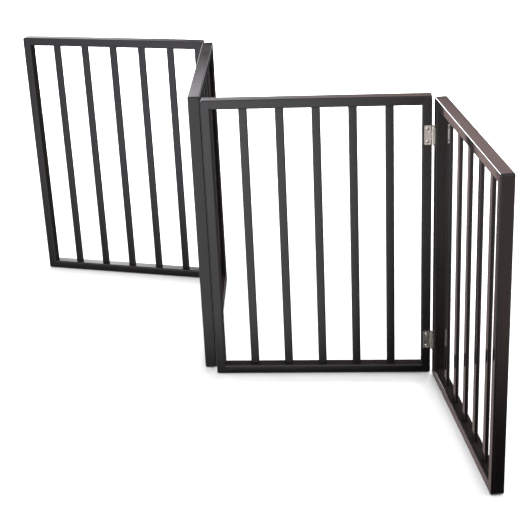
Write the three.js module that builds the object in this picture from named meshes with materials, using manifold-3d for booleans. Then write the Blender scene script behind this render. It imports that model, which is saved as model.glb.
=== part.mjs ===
// Folding pet gate: four slatted wooden panels standing in a zigzag, joined edge to edge by
// pairs of surface-mounted butt hinges. Millimetres, +Z up. Panel 3 stands parallel to X with
// its front towards -Y. Each panel is drawn with its front left bottom corner at its own origin.
import * as THREE from 'three';
import { mergeVertices } from 'three/addons/utils/BufferGeometryUtils.js';
import Module from 'manifold-3d';

const wasm = await Module();
wasm.setup();

// Panel frame
const PANEL_WIDTH = 456;
const PANEL_HEIGHT = 610;
const PANEL_DEPTH = 25;
const STILE_WIDTH = 19.3;
const RAIL_HEIGHT = 19.3;
const EDGE_RADIUS = 2.5; // roundover along the front and back edges
const CORNER_RADIUS = 4; // outer corners, seen from the front

// Slats
const SLAT_COUNT = 5;
const SLAT_WIDTH = 17.4;
const SLAT_DEPTH = 7.2;
const SLAT_EDGE_RADIUS = 1.8;
const SLAT_SEAT = 8; // length of slat housed in each rail

// Joinery
const JOINT_GAP = 0.3; // clearance at every face where two pieces meet
const TENON_LENGTH = 10;
const TENON_HEIGHT = 9;
const TENON_DEPTH = 11;

// Hinges
const LEAF_HEIGHT = 40;
const LEAF_REACH = 16.5; // pin axis to the far edge of a leaf
const LEAF_THICKNESS = 1.2;
const LEAF_CORNER_RADIUS = 1.2;
const KNUCKLE_RADIUS = 2.6;
const KNUCKLE_BORE_RADIUS = 1.55;
const MIDDLE_KNUCKLE_LENGTH = 19;
const PIN_RADIUS = 1.3;
const PIN_HEAD_RADIUS = 2;
const PIN_CROWN_RADIUS = 1.4; // flat end of a pin head
const PIN_HEAD_HEIGHT = 0.8;
const HINGE_INSET = 79.5; // middle of a hinge to the panel's nearer end
const PIN_STANDOFF = 2; // panel face to pin axis
const SCREW_OFFSET = 9.8; // pin axis to the screws
const SCREW_SPACING = 27;
const SCREW_HOLE_RADIUS = 1.7;
const COUNTERSINK_RADIUS = 3.2;
const COUNTERSINK_DEPTH = 1.05;
const PILOT_RADIUS = 1.2;
const PILOT_DEPTH = 11;

// How the panels stand
const PANEL_GAP = 1.9; // between neighbouring panels when they lie in one plane
const REST_FOLD_3_4 = THREE.MathUtils.degToRad(80);
const REST_FOLD_2_3 = THREE.MathUtils.degToRad(87.3);
const REST_FOLD_1_2 = THREE.MathUtils.degToRad(76.2);

// Facets
const BEVEL_SEGMENTS = 2; // across an edge roundover
const CORNER_SEGMENTS = 2; // an arc in an outline gets twice as many sides
const KNUCKLE_SEGMENTS = 8;
const HOLE_SIDES = 12;
const PIN_SIDES = 12;
const PILOT_SIDES = 6;

const CUT_MARGIN = 1; // how far a cutting tool runs past what it cuts

const OPENING_WIDTH = PANEL_WIDTH - 2 * STILE_WIDTH;
const OPENING_HEIGHT = PANEL_HEIGHT - 2 * RAIL_HEIGHT;
const SLAT_GAP = (OPENING_WIDTH - SLAT_COUNT * SLAT_WIDTH) / (SLAT_COUNT + 1);
const LEAF_BACK = PIN_STANDOFF - JOINT_GAP; // pin axis to the side of a leaf against the wood
const LEAF_FRONT = LEAF_BACK - LEAF_THICKNESS; // pin axis to the side of a leaf that shows
const LOWER_HINGE_Z = HINGE_INSET;
const UPPER_HINGE_Z = PANEL_HEIGHT - HINGE_INSET;

const lacquer = new THREE.MeshStandardMaterial({ color: 0x2a2220, roughness: 0.25, metalness: 0 });
const steel = new THREE.MeshStandardMaterial({ color: 0xc4bfb6, roughness: 0.3, metalness: 1 });

// ---- solids ----

function toSolid(geometry) {
  const bare = geometry.clone();
  bare.deleteAttribute('normal');
  bare.deleteAttribute('uv');
  const merged = mergeVertices(bare, 1e-4);
  return new wasm.Manifold(new wasm.Mesh({
    numProp: 3,
    vertProperties: new Float32Array(merged.attributes.position.array),
    triVerts: new Uint32Array(merged.index.array),
  }));
}

function toGeometry(solid) {
  const { vertProperties, triVerts } = solid.getMesh();
  const geometry = new THREE.BufferGeometry();
  geometry.setAttribute('position', new THREE.BufferAttribute(vertProperties, 3));
  geometry.setIndex(new THREE.BufferAttribute(triVerts, 1));
  return geometry;
}

function joinAll(solids) {
  return solids.reduce((whole, solid) => whole.add(solid));
}

function cutAll(solid, cutters) {
  return cutters.reduce((left, cutter) => left.subtract(cutter), solid);
}

// Box from its lowest to its highest corner
function block(low, high) {
  const size = high.map((value, axis) => value - low[axis]);
  const middle = high.map((value, axis) => (value + low[axis]) / 2);
  return toSolid(new THREE.BoxGeometry(...size).translate(...middle));
}

// Rectangle centred on (0, 0) with the given corner radius
function roundedRectangle(width, height, radius) {
  const x = width / 2;
  const y = height / 2;
  const shape = new THREE.Shape();
  shape.moveTo(-x + radius, -y);
  shape.lineTo(x - radius, -y);
  shape.absarc(x - radius, -y + radius, radius, -Math.PI / 2, 0, false);
  shape.lineTo(x, y - radius);
  shape.absarc(x - radius, y - radius, radius, 0, Math.PI / 2, false);
  shape.lineTo(-x + radius, y);
  shape.absarc(-x + radius, y - radius, radius, Math.PI / 2, Math.PI, false);
  shape.lineTo(-x, -y + radius);
  shape.absarc(-x + radius, -y + radius, radius, Math.PI, 1.5 * Math.PI, false);
  return shape;
}

// Turns an extrusion of a front view (x, height) so that its height stands along Z
// and its thickness runs from y = 0 to y = thickness
function standUp(geometry, thickness, inset = 0) {
  return geometry.rotateX(Math.PI / 2).translate(0, thickness - inset, 0);
}

// ---- panel ----

// The routed panel frame in one piece: flush faces, rounded outer and inner edges
function frameRing() {
  const outline = roundedRectangle(PANEL_WIDTH, PANEL_HEIGHT, CORNER_RADIUS);
  const x = OPENING_WIDTH / 2;
  const y = OPENING_HEIGHT / 2;
  const corners = [[-x, -y], [-x, y], [x, y], [x, -y]];
  outline.holes.push(new THREE.Path(corners.map((corner) => new THREE.Vector2(...corner))));
  const geometry = new THREE.ExtrudeGeometry(outline, {
    depth: PANEL_DEPTH - 2 * EDGE_RADIUS,
    curveSegments: CORNER_SEGMENTS,
    bevelThickness: EDGE_RADIUS,
    bevelSize: EDGE_RADIUS,
    bevelOffset: -EDGE_RADIUS,
    bevelSegments: BEVEL_SEGMENTS,
  });
  return toSolid(standUp(geometry, PANEL_DEPTH, EDGE_RADIUS)
    .translate(PANEL_WIDTH / 2, 0, PANEL_HEIGHT / 2));
}

const ring = frameRing();

// Tenon on the left or right end of a rail, or, grown by the joint gap, its mortise
function tenonBlock(side, railMiddleZ, growth) {
  const shoulder = side === 'left' ? STILE_WIDTH : PANEL_WIDTH - STILE_WIDTH;
  const outward = side === 'left' ? -1 : 1;
  const tip = shoulder + outward * (TENON_LENGTH + growth);
  const root = shoulder - outward * 2 * JOINT_GAP;
  const halfDepth = TENON_DEPTH / 2 + growth;
  const halfHeight = TENON_HEIGHT / 2 + growth;
  const middleY = PANEL_DEPTH / 2;
  return block(
    [Math.min(tip, root), middleY - halfDepth, railMiddleZ - halfHeight],
    [Math.max(tip, root), middleY + halfDepth, railMiddleZ + halfHeight],
  );
}

// Round cutter whose mouth is in the panel's front or back face
function faceHole(face, x, z, radius, depth, sides) {
  const cylinder = new THREE.CylinderGeometry(radius, radius, 2 * depth, sides);
  return toSolid(cylinder.translate(x, face === 'front' ? 0 : PANEL_DEPTH, z));
}

function screwHeights() {
  return [LOWER_HINGE_Z, UPPER_HINGE_Z].flatMap(
    (z) => [z - SCREW_SPACING / 2, z + SCREW_SPACING / 2],
  );
}

// hingeFace is the face that carries the hinge leaves, or null on an outer stile
function stile(side, hingeFace) {
  const inner = side === 'left' ? STILE_WIDTH : PANEL_WIDTH - STILE_WIDTH;
  const [from, to] = side === 'left' ? [-CUT_MARGIN, inner] : [inner, PANEL_WIDTH + CUT_MARGIN];
  const member = ring.intersect(block(
    [from, -CUT_MARGIN, -CUT_MARGIN],
    [to, PANEL_DEPTH + CUT_MARGIN, PANEL_HEIGHT + CUT_MARGIN],
  ));
  const cutters = [RAIL_HEIGHT / 2, PANEL_HEIGHT - RAIL_HEIGHT / 2].map(
    (z) => tenonBlock(side, z, JOINT_GAP),
  );
  if (hingeFace) {
    const edge = side === 'left' ? 0 : PANEL_WIDTH;
    const inward = side === 'left' ? 1 : -1;
    const x = edge + inward * (SCREW_OFFSET - PANEL_GAP / 2);
    for (const z of screwHeights()) {
      cutters.push(faceHole(hingeFace, x, z, PILOT_RADIUS, PILOT_DEPTH, PILOT_SIDES));
    }
  }
  return toGeometry(cutAll(member, cutters));
}

function slatSection(growth) {
  return roundedRectangle(
    SLAT_WIDTH + 2 * growth, SLAT_DEPTH + 2 * growth, SLAT_EDGE_RADIUS + growth,
  );
}

function slatMiddleX(index) {
  return STILE_WIDTH + SLAT_GAP + SLAT_WIDTH / 2 + index * (SLAT_GAP + SLAT_WIDTH);
}

// A slat, or, grown by the joint gap, the two pockets that it stands in
function slatBar(index, growth) {
  const length = OPENING_HEIGHT + 2 * (SLAT_SEAT + growth);
  const bar = new THREE.ExtrudeGeometry(slatSection(growth), {
    depth: length, curveSegments: CORNER_SEGMENTS, bevelEnabled: false,
  });
  return bar.translate(slatMiddleX(index), PANEL_DEPTH / 2, RAIL_HEIGHT - SLAT_SEAT - growth);
}

function rail(level) {
  const bottom = level === 'top' ? PANEL_HEIGHT - RAIL_HEIGHT : 0;
  const top = bottom + RAIL_HEIGHT;
  const [from, to] = [STILE_WIDTH + JOINT_GAP, PANEL_WIDTH - STILE_WIDTH - JOINT_GAP];
  const member = ring.intersect(block(
    [from, -CUT_MARGIN, bottom - CUT_MARGIN],
    [to, PANEL_DEPTH + CUT_MARGIN, top + CUT_MARGIN],
  ));
  const tenons = ['left', 'right'].map((side) => tenonBlock(side, bottom + RAIL_HEIGHT / 2, 0));
  const pockets = [];
  for (let index = 0; index < SLAT_COUNT; index += 1) {
    pockets.push(toSolid(slatBar(index, JOINT_GAP)));
  }
  return toGeometry(cutAll(joinAll([member, ...tenons]), pockets));
}

function named(name, geometry, material) {
  const mesh = new THREE.Mesh(geometry, material);
  mesh.name = name;
  return mesh;
}

// hingeFaces says which face of each stile carries hinge leaves
function panel(number, hingeFaces) {
  const group = new THREE.Group();
  const name = `panel_${number}`;
  for (const side of ['left', 'right']) {
    group.add(named(`${name}_${side}_stile`, stile(side, hingeFaces[side]), lacquer));
  }
  for (const level of ['top', 'bottom']) {
    group.add(named(`${name}_${level}_rail`, rail(level), lacquer));
  }
  for (let index = 0; index < SLAT_COUNT; index += 1) {
    group.add(named(`${name}_slat_${index + 1}`, toGeometry(toSolid(slatBar(index, 0))), lacquer));
  }
  return group;
}

// ---- hinge ----
// A hinge is drawn about its pin axis, with z = 0 at mid height. Seen with the hinge open flat,
// the panel face is the plane y = PIN_STANDOFF; one leaf reaches to -X and the other to +X.

// Knuckle with the short web that runs into its leaf, from z = low to z = high
function knuckle(low, high) {
  const rollStart = Math.PI - Math.asin(LEAF_FRONT / KNUCKLE_RADIUS);
  const rollEnd = 3 * Math.PI - Math.asin(LEAF_BACK / KNUCKLE_RADIUS);
  const webReach = KNUCKLE_RADIUS + 2 * JOINT_GAP;
  const section = new THREE.Shape();
  section.moveTo(-webReach, LEAF_BACK);
  section.lineTo(-webReach, LEAF_FRONT);
  section.absarc(0, 0, KNUCKLE_RADIUS, rollStart, rollEnd, false);
  const bore = new THREE.Path();
  bore.absarc(0, 0, KNUCKLE_BORE_RADIUS, 0, 2 * Math.PI, false);
  section.holes.push(bore);
  const geometry = new THREE.ExtrudeGeometry(section, {
    depth: high - low, curveSegments: KNUCKLE_SEGMENTS, bevelEnabled: false,
  });
  return toSolid(geometry.translate(0, 0, low));
}

// Screw hole with its countersink, opening towards -Y
function screwCutter(z) {
  const through = 2 * LEAF_THICKNESS;
  const profile = [
    [0, -CUT_MARGIN], [COUNTERSINK_RADIUS, -CUT_MARGIN], [COUNTERSINK_RADIUS, 0],
    [SCREW_HOLE_RADIUS, COUNTERSINK_DEPTH], [SCREW_HOLE_RADIUS, through], [0, through],
  ].map((point) => new THREE.Vector2(...point));
  const cutter = new THREE.LatheGeometry(profile, HOLE_SIDES);
  return toSolid(cutter.translate(-SCREW_OFFSET, LEAF_FRONT, z));
}

function leafPlate() {
  const inner = KNUCKLE_RADIUS + JOINT_GAP;
  const width = LEAF_REACH - inner;
  const outline = roundedRectangle(width, LEAF_HEIGHT, LEAF_CORNER_RADIUS);
  const geometry = new THREE.ExtrudeGeometry(outline, {
    depth: LEAF_THICKNESS, curveSegments: CORNER_SEGMENTS, bevelEnabled: false,
  });
  return toSolid(standUp(geometry, LEAF_BACK).translate(-inner - width / 2, 0, 0));
}

function leaf(knuckleSpans) {
  const knuckles = knuckleSpans.map(([low, high]) => knuckle(low, high));
  const cutters = [-SCREW_SPACING / 2, SCREW_SPACING / 2].map(screwCutter);
  return toGeometry(cutAll(joinAll([leafPlate(), ...knuckles]), cutters));
}

const halfMiddle = MIDDLE_KNUCKLE_LENGTH / 2;
const halfLeaf = LEAF_HEIGHT / 2;
const endKnuckleStart = halfMiddle + JOINT_GAP;
const middleLeaf = leaf([[-halfMiddle, halfMiddle]]);
const endLeaf = leaf([[-halfLeaf, -endKnuckleStart], [endKnuckleStart, halfLeaf]]);

function pinGeometry() {
  const shank = halfLeaf + JOINT_GAP;
  const top = shank + PIN_HEAD_HEIGHT;
  const profile = [
    [0, -top], [PIN_CROWN_RADIUS, -top], [PIN_HEAD_RADIUS, -top + PIN_HEAD_HEIGHT / 2],
    [PIN_HEAD_RADIUS, -shank], [PIN_RADIUS, -shank], [PIN_RADIUS, shank],
    [PIN_HEAD_RADIUS, shank], [PIN_HEAD_RADIUS, top - PIN_HEAD_HEIGHT / 2],
    [PIN_CROWN_RADIUS, top], [0, top],
  ].map((point) => new THREE.Vector2(...point));
  return new THREE.LatheGeometry(profile, PIN_SIDES).rotateX(Math.PI / 2);
}

// Hangs the two hinges of one joint: the left panel's leaves carry the middle knuckle and the
// right panel's leaves the end knuckles with the pin. leftSide and rightSide are groups whose
// origin is on the pin axis at floor level; face tells which way the knuckles stand out.
function hangHinges(leftSide, rightSide, leftNumber, rightNumber, face) {
  for (const [level, z] of [['upper', UPPER_HINGE_Z], ['lower', LOWER_HINGE_Z]]) {
    const name = `hinge_${leftNumber}_${rightNumber}_${level}`;
    const leftLeaf = named(`${name}_leaf_${leftNumber}`, middleLeaf, steel);
    const rightLeaf = named(`${name}_leaf_${rightNumber}`, endLeaf, steel);
    const pin = named(`${name}_pin`, pinGeometry(), steel);
    const overTurn = face === 'front' ? 0 : Math.PI; // about X: the knuckles stand out behind
    leftLeaf.rotation.set(overTurn, 0, 0);
    rightLeaf.rotation.set(Math.PI - overTurn, 0, Math.PI);
    for (const piece of [leftLeaf, rightLeaf, pin]) piece.position.z = z;
    leftSide.add(leftLeaf);
    rightSide.add(rightLeaf, pin);
  }
}

// ---- gate ----

// Group whose origin is on a pin axis, at floor level
function pivot(x, y, angle) {
  const group = new THREE.Group();
  group.position.set(x, y, 0);
  group.rotation.z = angle;
  return group;
}

const frontPinY = -PIN_STANDOFF;
const backPinY = PANEL_DEPTH + PIN_STANDOFF;
const leftPinX = -PANEL_GAP / 2;
const rightPinX = PANEL_WIDTH + PANEL_GAP / 2;

const gate = new THREE.Group();
gate.name = 'pet_gate';

const panel3 = panel(3, { left: 'back', right: 'front' });
gate.add(panel3);

const pivot34 = pivot(rightPinX, frontPinY, -REST_FOLD_3_4);
const panel4 = panel(4, { left: 'front', right: null });
panel4.position.set(-leftPinX, -frontPinY, 0);
pivot34.add(panel4);

const pivot23 = pivot(leftPinX, backPinY, -REST_FOLD_2_3);
const panel2 = panel(2, { left: 'front', right: 'back' });
panel2.position.set(-rightPinX, -backPinY, 0);
pivot23.add(panel2);

const pivot12 = pivot(leftPinX, frontPinY, REST_FOLD_1_2);
const panel1 = panel(1, { left: null, right: 'front' });
panel1.position.set(-rightPinX, -frontPinY, 0);
pivot12.add(panel1);
panel2.add(pivot12);
gate.add(pivot34, pivot23);

// Each leaf is drawn about its pin, so a panel's leaves hang in a group on that pin
const side3right = pivot(rightPinX, frontPinY, 0);
const side3left = pivot(leftPinX, backPinY, 0);
const side2left = pivot(leftPinX, frontPinY, 0);
panel3.add(side3right, side3left);
panel2.add(side2left);
hangHinges(side3right, pivot34, 3, 4, 'front');
hangHinges(pivot23, side3left, 2, 3, 'back');
hangHinges(pivot12, side2left, 1, 2, 'front');

// The gate's origin is the middle of its footprint, on the floor
const footprint = new THREE.Box3().setFromObject(gate, true);
gate.position.set(
  -(footprint.min.x + footprint.max.x) / 2,
  -(footprint.min.y + footprint.max.y) / 2,
  -footprint.min.z,
);

export default gate;
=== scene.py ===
"""The finished look of the folding pet gate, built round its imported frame. Metres, +Z up.

Every wooden piece and every hinge piece of the frame is replaced, in place and at the frame's
size, by a finely rounded mesh with a procedural material. The hinge screws are only made here.
"""

import math
from collections import namedtuple

import bmesh
import bpy
from mathutils import Matrix, Vector


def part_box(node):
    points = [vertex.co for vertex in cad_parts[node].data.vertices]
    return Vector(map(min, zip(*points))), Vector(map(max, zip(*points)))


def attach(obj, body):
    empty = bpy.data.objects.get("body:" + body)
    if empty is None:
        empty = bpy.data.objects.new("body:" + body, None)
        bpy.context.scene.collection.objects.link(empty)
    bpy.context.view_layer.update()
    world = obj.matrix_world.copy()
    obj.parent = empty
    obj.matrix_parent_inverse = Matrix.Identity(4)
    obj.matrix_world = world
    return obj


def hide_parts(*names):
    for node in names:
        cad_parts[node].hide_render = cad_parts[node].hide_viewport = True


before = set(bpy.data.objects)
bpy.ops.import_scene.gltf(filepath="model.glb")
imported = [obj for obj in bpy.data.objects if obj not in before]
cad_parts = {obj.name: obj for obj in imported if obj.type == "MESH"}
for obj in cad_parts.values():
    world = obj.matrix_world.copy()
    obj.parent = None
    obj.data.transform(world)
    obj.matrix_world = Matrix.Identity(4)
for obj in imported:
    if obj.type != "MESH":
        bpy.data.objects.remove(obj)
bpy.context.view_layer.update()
MM = 0.001
UP = Vector((0, 0, 1))


# ---------------------------------------------------------------- camera

CAMERA_PLACE = Vector((0.28408, -2.39446, 1.29375))
CAMERA_YAW = math.radians(-4.662)  # from +Y towards +X
CAMERA_PITCH = math.radians(22.424)  # below the horizon
CAMERA_ROLL = math.radians(-2.587)
CAMERA_LENS_MM = 83.502
CAMERA_SHIFT = (-0.0070, -0.0541)
SENSOR_MM = 36.0
CAMERA_RANGE = (0.05, 60)  # metres


def make_camera():
    data = bpy.data.cameras.new("camera")
    data.lens, data.sensor_width = CAMERA_LENS_MM, SENSOR_MM
    data.shift_x, data.shift_y = CAMERA_SHIFT
    data.clip_start, data.clip_end = CAMERA_RANGE
    camera = bpy.data.objects.new("camera", data)
    bpy.context.scene.collection.objects.link(camera)
    level = math.cos(CAMERA_PITCH)
    ahead = Vector((math.sin(CAMERA_YAW) * level, math.cos(CAMERA_YAW) * level,
                    -math.sin(CAMERA_PITCH)))
    right = ahead.cross(UP).normalized()
    above = right.cross(ahead)
    turned_right = right * math.cos(CAMERA_ROLL) + above * math.sin(CAMERA_ROLL)
    turned_above = above * math.cos(CAMERA_ROLL) - right * math.sin(CAMERA_ROLL)
    turn = Matrix((turned_right, turned_above, -ahead)).transposed().to_4x4()
    camera.matrix_world = Matrix.Translation(CAMERA_PLACE) @ turn
    bpy.context.scene.camera = camera


make_camera()


# ---------------------------------------------------------------- sizes, from the frame

def size_of(node):
    low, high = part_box(node)
    return high - low


def middle_of(node):
    low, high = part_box(node)
    return (low + high) / 2


STILE_WIDTH, FRAME_DEPTH, PANEL_HEIGHT = size_of("panel_3_left_stile")
PANEL_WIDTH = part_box("panel_3_right_stile")[1].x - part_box("panel_3_left_stile")[0].x
RAIL_HEIGHT = size_of("panel_3_bottom_rail").z
SLAT_WIDTH, SLAT_DEPTH, SLAT_LENGTH = size_of("panel_3_slat_1")
SLAT_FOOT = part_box("panel_3_slat_1")[0].z
SLAT_PITCH = middle_of("panel_3_slat_2").x - middle_of("panel_3_slat_1").x
SLAT_COUNT = 5
OPENING_WIDTH = PANEL_WIDTH - 2 * STILE_WIDTH
LEAF_HEIGHT = size_of("hinge_3_4_upper_leaf_3").z
PIN_LENGTH = size_of("hinge_3_4_upper_pin").z
# how far a hinge's pin stands out from the face of the panels that it joins
PIN_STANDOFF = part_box("panel_3_left_stile")[0].y - middle_of("hinge_3_4_upper_pin").y

# The frame's rounded corners are cut with fewer facets than these, so the wood is made this
# much thinner on each face to stay inside them.
SKIN = 0.04 * MM
PANEL_DEPTH = FRAME_DEPTH - 2 * SKIN

# Small sizes that the frame's boxes don't give
EDGE_RADIUS = 2.5 * MM
CORNER_RADIUS = 4 * MM
SLAT_EDGE_RADIUS = 1.8 * MM
SEAM = 0.12 * MM  # between pieces glued together
SEAM_CHAMFER = 0.2 * MM
LEAF_REACH = 16.5 * MM
LEAF_THICKNESS = 1.2 * MM
LEAF_GAP = 0.3 * MM  # between a leaf and the panel's face
LEAF_CORNER_RADIUS = 1.2 * MM
METAL_CHAMFER = 0.15 * MM
OUTLINE_HAIR = 0.01 * MM  # keeps an outline's points apart where it isn't inset
KNUCKLE_RADIUS = 2.6 * MM
KNUCKLE_GAP = 0.3 * MM
MIDDLE_KNUCKLE = 19 * MM
PIN_RADIUS = 1.3 * MM
PIN_HEAD_RADIUS = 2 * MM
PIN_HEAD_HEIGHT = 0.8 * MM
PIN_CLEARANCE = 0.05 * MM
SCREW_CLEARANCE = 0.3 * MM
LEAF_FACE = LEAF_GAP + LEAF_THICKNESS - PIN_STANDOFF  # from the pin axis, negative
SCREW_OFFSET = 9.8 * MM  # pin axis to the screws
SCREW_SPACING = 27 * MM
SCREW_HEAD_RADIUS = 3.1 * MM
SCREW_SHANK_RADIUS = 1.3 * MM
SCREW_LENGTH = 11 * MM
SCREW_DOME = 0.35 * MM
SCREW_TURNS = 7
SCREW_TWIST = (0.5, 1.3)  # radians, the second times the panel's number
RECESS_SLOT = 0.42 * MM
RECESS_DEPTH = 1.0 * MM

Panel = namedtuple("Panel", "number body foot along back")


def find_panel(number):
    """A panel's place: foot is the middle of its footprint, along runs left to right."""
    first, last = (middle_of(f"panel_{number}_slat_{i}") for i in (1, SLAT_COUNT))
    along = (last - first).normalized()
    foot = (first + last) / 2
    foot.z = 0
    return Panel(number, f"panel_{number}", foot, along, UP.cross(along))


PANELS = {number: find_panel(number) for number in (1, 2, 3, 4)}


# ---------------------------------------------------------------- mesh tools

def new_object(name, mesh):
    piece = bpy.data.objects.new(name, mesh)
    bpy.context.scene.collection.objects.link(piece)
    return piece


def mesh_from_loops(name, loops):
    """Skins equal-length loops of points, one after the other, and caps both ends."""
    work = bmesh.new()
    rings = [[work.verts.new(point) for point in loop] for loop in loops]
    for lower, upper in zip(rings, rings[1:]):
        for i in range(len(lower)):
            j = (i + 1) % len(lower)
            work.faces.new((lower[i], lower[j], upper[j], upper[i]))
    work.faces.new(rings[0][::-1])
    work.faces.new(rings[-1])
    bmesh.ops.remove_doubles(work, verts=work.verts, dist=1e-7)
    bmesh.ops.recalc_face_normals(work, faces=work.faces)
    mesh = bpy.data.meshes.new(name)
    work.to_mesh(mesh)
    work.free()
    return mesh


def boolean(mesh, others, operation):
    """The mesh joined with, or cut by, the other meshes. Uses them all up."""
    body = new_object("boolean_body", mesh)
    tools = [new_object("boolean_tool", other) for other in others]
    for tool in tools:
        change = body.modifiers.new("boolean", "BOOLEAN")
        change.operation, change.solver, change.object = operation, "EXACT", tool
    graph = bpy.context.evaluated_depsgraph_get()
    result = bpy.data.meshes.new_from_object(body.evaluated_get(graph), depsgraph=graph)
    for used in (body, *tools):
        data = used.data
        bpy.data.objects.remove(used)
        bpy.data.meshes.remove(data)
    tidy = bmesh.new()
    tidy.from_mesh(result)
    bmesh.ops.remove_doubles(tidy, verts=tidy.verts, dist=2e-6)
    bmesh.ops.dissolve_degenerate(tidy, edges=tidy.edges, dist=1e-6)
    tidy.to_mesh(result)
    tidy.free()
    return result


def arc(middle, radius, start, end, steps):
    """Points on an arc, both ends included. Angles in quarter turns."""
    for i in range(steps + 1):
        angle = (start + (end - start) * i / steps) * math.pi / 2
        yield (middle[0] + radius * math.cos(angle), middle[1] + radius * math.sin(angle))


def rounded_rectangle(width, height, radius, steps=5):
    """Outline centred on (0, 0), anticlockwise from the middle of the right side."""
    x, y = width / 2 - radius, height / 2 - radius
    corners = (((x, y), 0), ((-x, y), 1), ((-x, -y), 2), ((x, -y), 3))
    return [point for middle, turn in corners
            for point in arc(middle, radius, turn, turn + 1, steps)]


def roundover(depth, radius, steps=6):
    """(y, inset) of each layer through a board whose front and back edges are rounded."""
    front = [(-depth / 2 + radius * (1 - math.cos(a)), radius * (1 - math.sin(a)))
             for a in (math.pi / 2 * i / steps for i in range(steps + 1))]
    return front + [(-y, inset) for y, inset in reversed(front)]


# ---------------------------------------------------------------- wooden pieces
# Each is drawn with its grain along its own Z, its thickness along Y, centred on X and Y.

def stile_outline(inset):
    """Left stile in front view: outer edge at -X, standing on z = 0."""
    inner = STILE_WIDTH / 2
    foot, head = inset, PANEL_HEIGHT - inset
    low_corner = (SKIN - STILE_WIDTH / 2 + CORNER_RADIUS, CORNER_RADIUS)
    high_corner = (low_corner[0], PANEL_HEIGHT - CORNER_RADIUS)
    radius = CORNER_RADIUS - inset
    opening_foot = RAIL_HEIGHT - inset
    opening_head = PANEL_HEIGHT - RAIL_HEIGHT + inset
    return [
        (inner, foot), (inner, opening_foot), (inner - inset, opening_foot),
        (inner - inset, opening_head), (inner, opening_head), (inner, head),
        *arc(high_corner, radius, 1, 2, 5),
        *arc(low_corner, radius, 2, 3, 5),
    ]


def stile_mesh():
    """A stile with all its outer edges rounded, and its inner face notched for the rails."""
    loops = []
    for y, inset in roundover(PANEL_DEPTH, EDGE_RADIUS):
        outline = stile_outline(max(inset, OUTLINE_HAIR))
        loops.append([(x, y, z) for x, z in outline])
    return mesh_from_loops("stile", loops)


def bar_mesh(name, section, half_length, chamfer):
    """A straight bar with a small chamfer round both ends. section(inset) gives its outline."""
    ends = [(-half_length, chamfer), (-half_length + chamfer, 0),
            (half_length - chamfer, 0), (half_length, chamfer)]
    loops = [[(x, y, z) for x, y in section(inset)] for z, inset in ends]
    return mesh_from_loops(name, loops)


def rail_section(inset):
    """Outline of a rail, its height along X and the panel's thickness along Y."""
    return rounded_rectangle(RAIL_HEIGHT - 2 * inset, PANEL_DEPTH - 2 * inset,
                             EDGE_RADIUS - inset)


def slat_section(growth):
    """Outline of a slat, its width along X and its thickness along Y."""
    return rounded_rectangle(SLAT_WIDTH + 2 * growth, SLAT_DEPTH + 2 * growth,
                             SLAT_EDGE_RADIUS + growth, steps=4)


def rail_mesh():
    """A rail with a pocket for each slat. The side with the pockets faces -X."""
    bar = bar_mesh("rail", rail_section, OPENING_WIDTH / 2 - SEAM, SEAM_CHAMFER)
    pocket_floor = RAIL_HEIGHT / 2 - SLAT_FOOT + SEAM
    pockets = []
    for i in range(SLAT_COUNT):
        z = (i - (SLAT_COUNT - 1) / 2) * SLAT_PITCH
        outline = [(y, z + across) for across, y in slat_section(SEAM)]
        loops = [[(x, y, along) for y, along in outline]
                 for x in (-RAIL_HEIGHT, pocket_floor)]
        pockets.append(mesh_from_loops("pocket", loops))
    return boolean(bar, pockets, "DIFFERENCE")


def slat_mesh():
    """A slat with its middle at z = 0."""
    return bar_mesh("slat", lambda inset: slat_section(-inset), SLAT_LENGTH / 2, SEAM_CHAMFER)


# ---------------------------------------------------------------- hinge pieces
# Drawn about the pin axis at mid height: X reaches from the pin over the panel, Y points away
# from the panel's face, Z is up. The panel's face is at y = -PIN_STANDOFF.

def leaf_plate():
    """The flat part of a leaf, with rounded corners and chamfered edges."""
    inner = KNUCKLE_RADIUS + KNUCKLE_GAP
    width = LEAF_REACH - inner
    middle_x = inner + width / 2
    back = LEAF_FACE - LEAF_THICKNESS
    layers = [(back, METAL_CHAMFER), (back + METAL_CHAMFER, 0),
              (LEAF_FACE - METAL_CHAMFER, 0), (LEAF_FACE, METAL_CHAMFER)]
    loops = []
    for y, inset in layers:
        outline = rounded_rectangle(width - 2 * inset, LEAF_HEIGHT - 2 * inset,
                                    LEAF_CORNER_RADIUS - inset)
        loops.append([(middle_x + x, y, z) for x, z in outline])
    return mesh_from_loops("leaf_plate", loops)


def knuckle(low, high):
    """One rolled knuckle with the web that joins it to its leaf."""
    web_end = KNUCKLE_RADIUS + 4 * KNUCKLE_GAP

    def section(inset):
        radius = KNUCKLE_RADIUS - inset
        front, back = LEAF_FACE - inset, LEAF_FACE - LEAF_THICKNESS + inset
        start, end = (math.asin(y / radius) / (math.pi / 2) for y in (front, back))
        return [*arc((0, 0), radius, start, 4 + end, 32), (web_end, back), (web_end, front)]

    ends = [(low, METAL_CHAMFER), (low + METAL_CHAMFER, 0),
            (high - METAL_CHAMFER, 0), (high, METAL_CHAMFER)]
    return mesh_from_loops("knuckle", [[(x, y, z) for x, y in section(inset)]
                                       for z, inset in ends])


def lathe(name, profile, sides, axis="Z"):
    """Turns (radius, height) points round Z, or round Y with the heights along Y."""
    loops = []
    for radius, height in profile:
        ring = []
        for i in range(sides):
            angle = 2 * math.pi * i / sides
            a, b = radius * math.cos(angle), radius * math.sin(angle)
            ring.append((a, b, height) if axis == "Z" else (a, height, -b))
        loops.append(ring)
    return mesh_from_loops(name, loops)


def moved(mesh, x, y, z):
    """The same mesh, shifted."""
    mesh.transform(Matrix.Translation((x, y, z)))
    return mesh


def screw_z(step):
    """Height of a leaf's lower (-1) or upper (1) screw."""
    return step * SCREW_SPACING / 2


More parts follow.
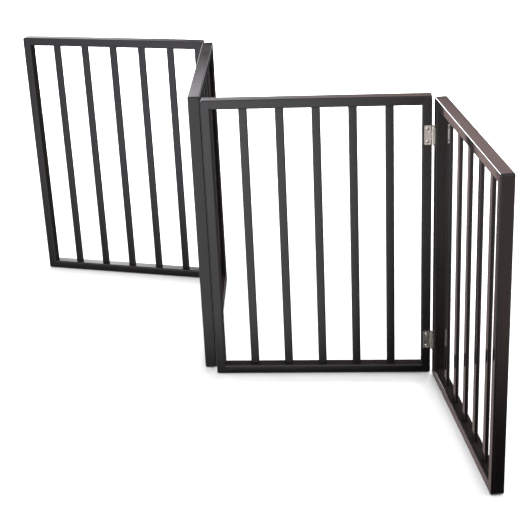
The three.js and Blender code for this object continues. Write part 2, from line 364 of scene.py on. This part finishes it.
def leaf_mesh(spans):
    """A leaf with knuckles over the given spans of height, bored for the pin and screws."""
    leaf = boolean(leaf_plate(), [knuckle(low, high) for low, high in spans], "UNION")
    bore_radius, bore_reach = PIN_RADIUS + PIN_CLEARANCE, LEAF_HEIGHT
    cutters = [lathe("bore", [(bore_radius, -bore_reach), (bore_radius, bore_reach)], 32)]
    hole = SCREW_SHANK_RADIUS + SCREW_CLEARANCE
    sink = SCREW_HEAD_RADIUS + SEAM
    profile = [(hole, -2 * LEAF_THICKNESS), (hole, -0.9 * LEAF_THICKNESS),
               (sink, 0), (sink + METAL_CHAMFER, LEAF_THICKNESS)]
    for step in (-1, 1):
        sink_cut = lathe("sink", profile, 32, "Y")
        cutters.append(moved(sink_cut, SCREW_OFFSET, LEAF_FACE, screw_z(step)))
    return boolean(leaf, cutters, "DIFFERENCE")


# The rounded head at each end of a pin: shares of the head's radius, and of its height downwards
PIN_HEAD_SHAPE = ((0.2, 0), (0.6, 0.1), (0.85, 0.3), (1, 0.65), (1, 1))


def pin_mesh():
    """A rod with a low rounded head at each end, its middle at z = 0."""
    half = PIN_LENGTH / 2
    end = [(across * PIN_HEAD_RADIUS, half - down * PIN_HEAD_HEIGHT)
           for across, down in PIN_HEAD_SHAPE]
    end.append((PIN_RADIUS, half - PIN_HEAD_HEIGHT))
    profile = [(radius, -height) for radius, height in end]
    profile += [(radius, height) for radius, height in reversed(end)]
    return lathe("pin", profile, 28)


def screw_mesh():
    """Raised countersunk screw with a cross recess. Y = 0 is the leaf's outer face."""
    dome = [(SCREW_HEAD_RADIUS * share, SCREW_DOME * (1 - share * share))
            for share in (1, 0.85, 0.65, 0.4, 0.12)]
    thread = []
    root = SCREW_SHANK_RADIUS * 0.78
    neck = -0.95 * LEAF_THICKNESS
    step = (SCREW_LENGTH + neck) / (SCREW_TURNS + 1)
    for i in range(SCREW_TURNS):
        y = neck - step * (i + 0.5)
        thread += [(root, y), (SCREW_SHANK_RADIUS, y - step * 0.35), (root, y - step * 0.6)]
    body = [(0.05 * MM, -SCREW_LENGTH), (root * 0.7, -SCREW_LENGTH + step * 0.4),
            *reversed(thread), (SCREW_SHANK_RADIUS, neck), (SCREW_HEAD_RADIUS, -0.08 * MM)]
    screw = lathe("screw", body + dome, 28, "Y")
    wing = 0.58 * SCREW_HEAD_RADIUS
    arms = []
    for long_x, long_z in ((wing, RECESS_SLOT), (RECESS_SLOT, wing)):
        layers = [(-RECESS_DEPTH, 0.55), (1.2 * SCREW_DOME, 1.0)]
        loops = [[(x * share * long_x, y, z * share * long_z)
                  for x, z in ((1, 1), (-1, 1), (-1, -1), (1, -1))] for y, share in layers]
        arms.append(mesh_from_loops("recess", loops))
    return boolean(screw, arms, "DIFFERENCE")


# ---------------------------------------------------------------- materials

def new_material(name):
    material = bpy.data.materials.new(name)
    material.use_nodes = True
    return material, material.node_tree.nodes, material.node_tree.links


def grain_coordinates(nodes, links, stretch):
    """Each piece's own place in the grain, scaled by stretch. Z runs along the grain."""
    place = nodes.new("ShaderNodeAttribute")
    place.attribute_name = "grain_place"
    mapping = nodes.new("ShaderNodeMapping")
    mapping.inputs["Scale"].default_value = stretch
    links.new(place.outputs["Vector"], mapping.inputs["Vector"])
    return mapping.outputs["Vector"]


def noise(nodes, links, vector, scale, detail, roughness=0.5, distortion=0.0):
    texture = nodes.new("ShaderNodeTexNoise")
    texture.inputs["Scale"].default_value = scale
    texture.inputs["Detail"].default_value = detail
    texture.inputs["Roughness"].default_value = roughness
    texture.inputs["Distortion"].default_value = distortion
    links.new(vector, texture.inputs["Vector"])
    return texture.outputs["Fac"]


def ramp(nodes, links, value, stops):
    """A colour for each value: stops are (position, colour) pairs."""
    blend = nodes.new("ShaderNodeValToRGB")
    elements = blend.color_ramp.elements
    while len(elements) < len(stops):
        elements.new(1.0)
    for element, (position, colour) in zip(elements, stops):
        element.position, element.color = position, (*colour, 1.0)
    links.new(value, blend.inputs["Fac"])
    return blend.outputs["Color"]


def remap(nodes, links, value, low, high):
    """The value moved from a noise's usual range to the range low to high."""
    change = nodes.new("ShaderNodeMapRange")
    for name, number in (("From Min", 0.3), ("From Max", 0.7), ("To Min", low), ("To Max", high)):
        change.inputs[name].default_value = number
    links.new(value, change.inputs["Value"])
    return change.outputs["Result"]


def multiply_colours(nodes, links, first, second):
    mix = nodes.new("ShaderNodeMix")
    mix.data_type, mix.blend_type = "RGBA", "MULTIPLY"
    mix.inputs["Factor"].default_value = 1
    links.new(first, mix.inputs["A"])
    links.new(second, mix.inputs["B"])
    return mix.outputs["Result"]


def bump(nodes, links, height, distance, below=None):
    """A bump of the given depth in metres, on top of the bump below it, if there is one."""
    node = nodes.new("ShaderNodeBump")
    node.inputs["Strength"].default_value = 1
    node.inputs["Distance"].default_value = distance
    links.new(height, node.inputs["Height"])
    if below is not None:
        links.new(below, node.inputs["Normal"])
    return node.outputs["Normal"]


def lacquer_material():
    """Espresso lacquer over straight-grained wood: dark streaks, fine pores, a glossy film."""
    material, nodes, links = new_material("espresso_lacquer")
    shader = nodes["Principled BSDF"]
    grain = grain_coordinates(nodes, links, (1, 1, 0.035))
    figure = noise(nodes, links, grain, 260, detail=5, roughness=0.6, distortion=0.4)
    pores = noise(nodes, links, grain, 1500, detail=2)
    film = grain_coordinates(nodes, links, (1, 1, 0.6))
    peel = noise(nodes, links, film, 230, detail=2)
    cloud = noise(nodes, links, film, 22, detail=3)
    streaks = ramp(nodes, links, figure, [
        (0.30, (0.0062, 0.0050, 0.0046)),
        (0.52, (0.0110, 0.0088, 0.0080)),
        (0.74, (0.0200, 0.0150, 0.0130)),
    ])
    tone = ramp(nodes, links, cloud, [(0.3, (0.78, 0.78, 0.8)), (0.7, (1.0, 0.97, 0.93))])
    colour = multiply_colours(nodes, links, streaks, tone)
    links.new(colour, shader.inputs["Base Color"])
    links.new(remap(nodes, links, cloud, 0.05, 0.09), shader.inputs["Roughness"])
    pore_bump = bump(nodes, links, pores, 0.012 * MM)
    peel_bump = bump(nodes, links, peel, 0.03 * MM, below=pore_bump)
    links.new(peel_bump, shader.inputs["Normal"])
    shader.inputs["IOR"].default_value = 1.45
    return material


def plated_steel(name, dull, bright):
    """Satin plate: fine lines along the leaf, slightly uneven brightness."""
    material, nodes, links = new_material(name)
    shader = nodes["Principled BSDF"]
    brushed = grain_coordinates(nodes, links, (1, 1, 0.05))
    lines = noise(nodes, links, brushed, 3500, detail=3)
    patches = noise(nodes, links, grain_coordinates(nodes, links, (1, 1, 1)), 240, detail=3)
    colour = ramp(nodes, links, patches, [(0.3, dull), (0.7, bright)])
    links.new(colour, shader.inputs["Base Color"])
    links.new(remap(nodes, links, patches, 0.08, 0.13), shader.inputs["Roughness"])
    links.new(bump(nodes, links, lines, 0.002 * MM), shader.inputs["Normal"])
    shader.inputs["Metallic"].default_value = 1.0
    return material


def floor_material():
    """A near-white matt floor, very slightly uneven."""
    material, nodes, links = new_material("pale_floor")
    shader = nodes["Principled BSDF"]
    place = nodes.new("ShaderNodeTexCoord").outputs["Object"]
    shade = noise(nodes, links, place, 3, detail=2)
    colour = ramp(nodes, links, shade, [
        (0.3, (0.60, 0.60, 0.60)), (0.7, (0.62, 0.62, 0.62))])
    links.new(colour, shader.inputs["Base Color"])
    shader.inputs["Roughness"].default_value = 0.9
    shader.inputs["Specular IOR Level"].default_value = 0.1
    return material


LACQUER = lacquer_material()
NICKEL = plated_steel("satin_nickel", (0.40, 0.38, 0.33), (0.54, 0.52, 0.46))
SCREW_STEEL = plated_steel("screw_steel", (0.34, 0.33, 0.30), (0.50, 0.48, 0.44))


# ---------------------------------------------------------------- placing pieces

SEED_STEPS = (0.731, 0.417, 0.293)
SMOOTH_ANGLE = math.radians(40)
made_count = 0


def add_piece(name, shape, matrix, body, material, node=None):
    """A piece with its own copy of a shape's mesh, cut from its own place in the grain."""
    global made_count
    made_count += 1
    mesh = shape.copy()
    mesh.name = name
    mesh.materials.clear()
    mesh.materials.append(material)
    seed = Vector([(made_count * step) % 1.0 for step in SEED_STEPS])
    places = [number for vertex in mesh.vertices for number in vertex.co + seed]
    grain = mesh.attributes.new("grain_place", "FLOAT_VECTOR", "POINT")
    grain.data.foreach_set("vector", places)
    mesh.transform(matrix)
    for polygon in mesh.polygons:
        polygon.use_smooth = True
    mesh.set_sharp_from_angle(angle=SMOOTH_ANGLE)
    piece = new_object(name, mesh)
    even = piece.modifiers.new("even_normals", "WEIGHTED_NORMAL")
    even.keep_sharp, even.weight = True, 100
    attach(piece, body)
    if node:
        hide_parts(node)
    return piece


def basis(x_axis, y_axis, z_axis, origin):
    """The matrix that puts a shape's axes along the three given ones."""
    matrix = Matrix((x_axis, y_axis, z_axis)).transposed().to_4x4()
    matrix.translation = origin
    return matrix


def add_panel(panel, shapes):
    """Two stiles, two rails and five slats."""
    def wood(part, shape, matrix):
        node = f"{panel.body}_{part}"
        add_piece(f"{node}_wood", shape, matrix, panel.body, LACQUER, node)

    reach = PANEL_WIDTH / 2 - STILE_WIDTH / 2
    for side, sign in (("left", 1), ("right", -1)):
        origin = panel.foot - panel.along * reach * sign
        wood(f"{side}_stile", shapes["stile"],
             basis(panel.along * sign, panel.back * sign, UP, origin))
    for level, sign, z in (("bottom", 1, RAIL_HEIGHT / 2),
                           ("top", -1, PANEL_HEIGHT - RAIL_HEIGHT / 2)):
        wood(f"{level}_rail", shapes["rail"],
             basis(-UP * sign, panel.back, panel.along * sign, panel.foot + UP * z))
    for i in range(SLAT_COUNT):
        offset = (i - (SLAT_COUNT - 1) / 2) * SLAT_PITCH
        origin = panel.foot + panel.along * offset + UP * (SLAT_FOOT + SLAT_LENGTH / 2)
        wood(f"slat_{i + 1}", shapes["slat"], basis(panel.along, panel.back, UP, origin))


def add_hinge(left, right, level, shapes):
    """The hinge between two panels at one level: two leaves, a pin and four screws."""
    name = f"hinge_{left.number}_{right.number}_{level}"
    pin = middle_of(f"{name}_pin")
    for panel, shape in ((left, "middle_leaf"), (right, "end_leaf")):
        away = pin - panel.foot
        over = panel.along * (-1 if away.dot(panel.along) > 0 else 1)
        out = panel.back * (1 if away.dot(panel.back) > 0 else -1)
        turn = basis(over, out, over.cross(out), pin)
        leaf = f"{name}_leaf_{panel.number}"
        add_piece(f"{leaf}_plate", shapes[shape], turn, panel.body, NICKEL, leaf)
        for i, step in enumerate((-1, 1)):
            angle = SCREW_TWIST[0] + SCREW_TWIST[1] * step * panel.number
            twist = Matrix.Rotation(angle, 4, "Y")
            place = turn @ Matrix.Translation((SCREW_OFFSET, LEAF_FACE, screw_z(step))) @ twist
            add_piece(f"{leaf}_screw_{i + 1}", shapes["screw"], place, panel.body,
                      SCREW_STEEL)
    add_piece(f"{name}_pin_rod", shapes["pin"], Matrix.Translation(pin), right.body,
              NICKEL, f"{name}_pin")


half_middle, half_leaf = MIDDLE_KNUCKLE / 2, LEAF_HEIGHT / 2
SHAPES = {
    "stile": stile_mesh(),
    "rail": rail_mesh(),
    "slat": slat_mesh(),
    "middle_leaf": leaf_mesh([(-half_middle, half_middle)]),
    "end_leaf": leaf_mesh([(-half_leaf, -half_middle - KNUCKLE_GAP),
                           (half_middle + KNUCKLE_GAP, half_leaf)]),
    "pin": pin_mesh(),
    "screw": screw_mesh(),
}
for each_panel in PANELS.values():
    add_panel(each_panel, SHAPES)
for left_number in (1, 2, 3):
    for each_level in ("upper", "lower"):
        add_hinge(PANELS[left_number], PANELS[left_number + 1], each_level, SHAPES)


# ---------------------------------------------------------------- studio

FLOOR_HALF = 60.0
FLOOR_HEIGHTS = (-0.02, -0.0005)  # its underside, and its top just below the gate
FLOOR_CORNERS = ((-1, -1), (1, -1), (1, 1), (-1, 1))


def add_floor():
    loops = [[(x * FLOOR_HALF, y * FLOOR_HALF, z) for x, y in FLOOR_CORNERS]
             for z in FLOOR_HEIGHTS]
    floor = mesh_from_loops("floor", loops)
    floor.materials.append(floor_material())
    piece = new_object("floor", floor)
    piece.visible_glossy = piece.visible_diffuse = False


# What the lacquer and the metal mirror: soft cards on the studio's walls and ceiling, and pale
# patches of ground. They aren't seen by the camera, which looks down at the floor.
# Heading is in degrees clockwise from +Y (the back), seen from above; height is in degrees
# above the horizon. Spans are half widths, soft is the half width of an edge.
Card = namedtuple(
    "Card", "heading heading_span heading_soft height height_span height_soft glow")
WALL_CARDS = {
    "window": Card(-30, 18.5, 5, 13, 13, 2, (2.1, 2.1, 2.16)),
    "window_sky": Card(-31, 7.5, 2.5, 12, 10, 3, (15, 15, 15.4)),
    "wall": Card(-9, 6, 4.5, 19.2, 4.2, 0.9, (1.5, 1.42, 1.52)),
    "wall_right": Card(12, 14, 3, 20.6, 4.2, 3, (1.3, 0.95, 0.93)),
    "lamp": Card(-11.5, 2.8, 1.5, 24, 1.6, 1, (1.8, 1.8, 1.8)),
    "front": Card(180, 80, 30, 24, 20, 8, (1.1, 1.1, 1.12)),
    "ceiling": Card(180, 190, 1, 80, 30, 12, (0.9, 0.9, 0.92)),
    "back": Card(32, 30, 8, 2, 6, 3, (1.4, 1.35, 1.35)),
    "left": Card(265, 30, 20, 15, 18, 8, (0.9, 0.9, 0.92)),
    "right": Card(95, 30, 20, 15, 18, 8, (0.5, 0.5, 0.52)),
}
GROUND_CARDS = {
    "front_left": Card(205, 15, 14, -3, 18.8, 4.5, (1.9, 1.86, 2.1)),
    "front": Card(192, 12, 4, -3, 24.9, 2, (1.65, 1.62, 1.66)),
    "front_right": Card(168, 13, 3, -3, 21.2, 4, (0.75, 0.7, 0.7)),
    "far_right": Card(134, 20.5, 1.4, -3, 26.5, 3.5, (1.0, 0.77, 0.73)),
    "back_left": Card(-45, 21.5, 2.5, -20, 16, 5, (0.58, 0.44, 0.42)),
    "left": Card(280, 34, 12, -15, 16, 5, (0.95, 0.92, 0.95)),
    "right": Card(92, 32, 10, -15, 16, 5, (0.75, 0.70, 0.70)),
    "near": Card(180, 190, 1, -56, 16, 4, (1.2, 1.15, 1.2)),
    "back_left_far": Card(-45, 21.5, 2.5, -12, 9, 2, (0.48, 0.32, 0.31)),
}
SHADE = (0.042, 0.047, 0.056)  # where there is no card


def calculate(nodes, links, operation, first, second=0.0):
    """The result of a Math node. Each input is a number or another node's output."""
    node = nodes.new("ShaderNodeMath")
    node.operation = operation
    for socket, value in zip(node.inputs, (first, second)):
        if isinstance(value, (int, float)):
            socket.default_value = value
        else:
            links.new(value, socket)
    return node.outputs[0]


def edge_mask(nodes, links, offset, span, soft):
    """1 where the offset is within the span, falling to 0 over its soft edge."""
    reach = calculate(nodes, links, "ABSOLUTE", offset)
    change = nodes.new("ShaderNodeMapRange")
    change.interpolation_type = "SMOOTHSTEP"
    change.inputs["From Min"].default_value = math.radians(span - soft)
    change.inputs["From Max"].default_value = math.radians(span + soft)
    change.inputs["To Min"].default_value = 1
    change.inputs["To Max"].default_value = 0
    links.new(reach, change.inputs["Value"])
    return change.outputs["Result"]


def add_cards(nodes, links, direction, height, total, cards):
    """Adds each card's glow, where the direction and height fall on it, to the total."""
    for card in cards.values():
        turn = nodes.new("ShaderNodeMapping")
        turn.inputs["Rotation"].default_value = (0, 0, math.radians(card.heading))
        links.new(direction, turn.inputs["Vector"])
        turned = nodes.new("ShaderNodeSeparateXYZ")
        links.new(turn.outputs["Vector"], turned.inputs["Vector"])
        across = calculate(nodes, links, "ARCTAN2", turned.outputs["X"], turned.outputs["Y"])
        above = calculate(nodes, links, "SUBTRACT", height, math.radians(card.height))
        mask = calculate(
            nodes, links, "MULTIPLY",
            edge_mask(nodes, links, across, card.heading_span, card.heading_soft),
            edge_mask(nodes, links, above, card.height_span, card.height_soft))
        mix = nodes.new("ShaderNodeMix")
        mix.data_type, mix.blend_type = "RGBA", "ADD"
        mix.inputs["B"].default_value = (*card.glow, 1)
        links.new(total, mix.inputs["A"])
        links.new(mask, mix.inputs["Factor"])
        total = mix.outputs["Result"]
    return total


def add_world():
    """Cards on the walls, unevenly bright, and then the ground. The floor isn't lit by it."""
    world = bpy.data.worlds.new("studio")
    world.use_nodes = True
    bpy.context.scene.world = world
    world.cycles_visibility.diffuse = False
    nodes, links = world.node_tree.nodes, world.node_tree.links
    direction = nodes.new("ShaderNodeTexCoord").outputs["Generated"]
    parts = nodes.new("ShaderNodeSeparateXYZ")
    links.new(direction, parts.inputs["Vector"])
    height = calculate(nodes, links, "ARCSINE", parts.outputs["Z"])
    base = nodes.new("ShaderNodeRGB")
    base.outputs[0].default_value = (*SHADE, 1)
    walls = add_cards(nodes, links, direction, height, base.outputs[0], WALL_CARDS)
    clutter = remap(nodes, links, noise(nodes, links, direction, 11, detail=3), 0.72, 1.2)
    mottled = multiply_colours(nodes, links, walls, clutter)
    total = add_cards(nodes, links, direction, height, mottled, GROUND_CARDS)
    links.new(total, nodes["Background"].inputs["Color"])


def add_light(name, kind, place, aim, **settings):
    """Lights the floor and the wood's own colour. It isn't mirrored: only the cards are."""
    light = bpy.data.lights.new(name, kind)
    for setting, value in settings.items():
        setattr(light, setting, value)
    lamp = bpy.data.objects.new(name, light)
    bpy.context.scene.collection.objects.link(lamp)
    lamp.location = place
    lamp.rotation_euler = (Vector(aim) - Vector(place)).to_track_quat("-Z", "Y").to_euler()
    lamp.visible_camera = lamp.visible_glossy = False


add_floor()
add_world()
GATE = (0, 0, 0.3)  # its middle, which every light is aimed at
SOFTBOX = {"shape": "RECTANGLE", "size": 4.0, "size_y": 2.0}
add_light("overhead", "SUN", (0, 0, 5), GATE, energy=4.6, angle=math.radians(100))
add_light("back_fill", "AREA", (0.3, 4.2, 1.3), GATE, energy=650, **SOFTBOX)
add_light("right_fill", "AREA", (4.5, 0.4, 1.3), GATE, energy=300, **SOFTBOX)
add_light("left_fill", "AREA", (-4.5, 0, 1.3), GATE, energy=240, **SOFTBOX)
bpy.context.scene.view_settings.view_transform = "Standard"
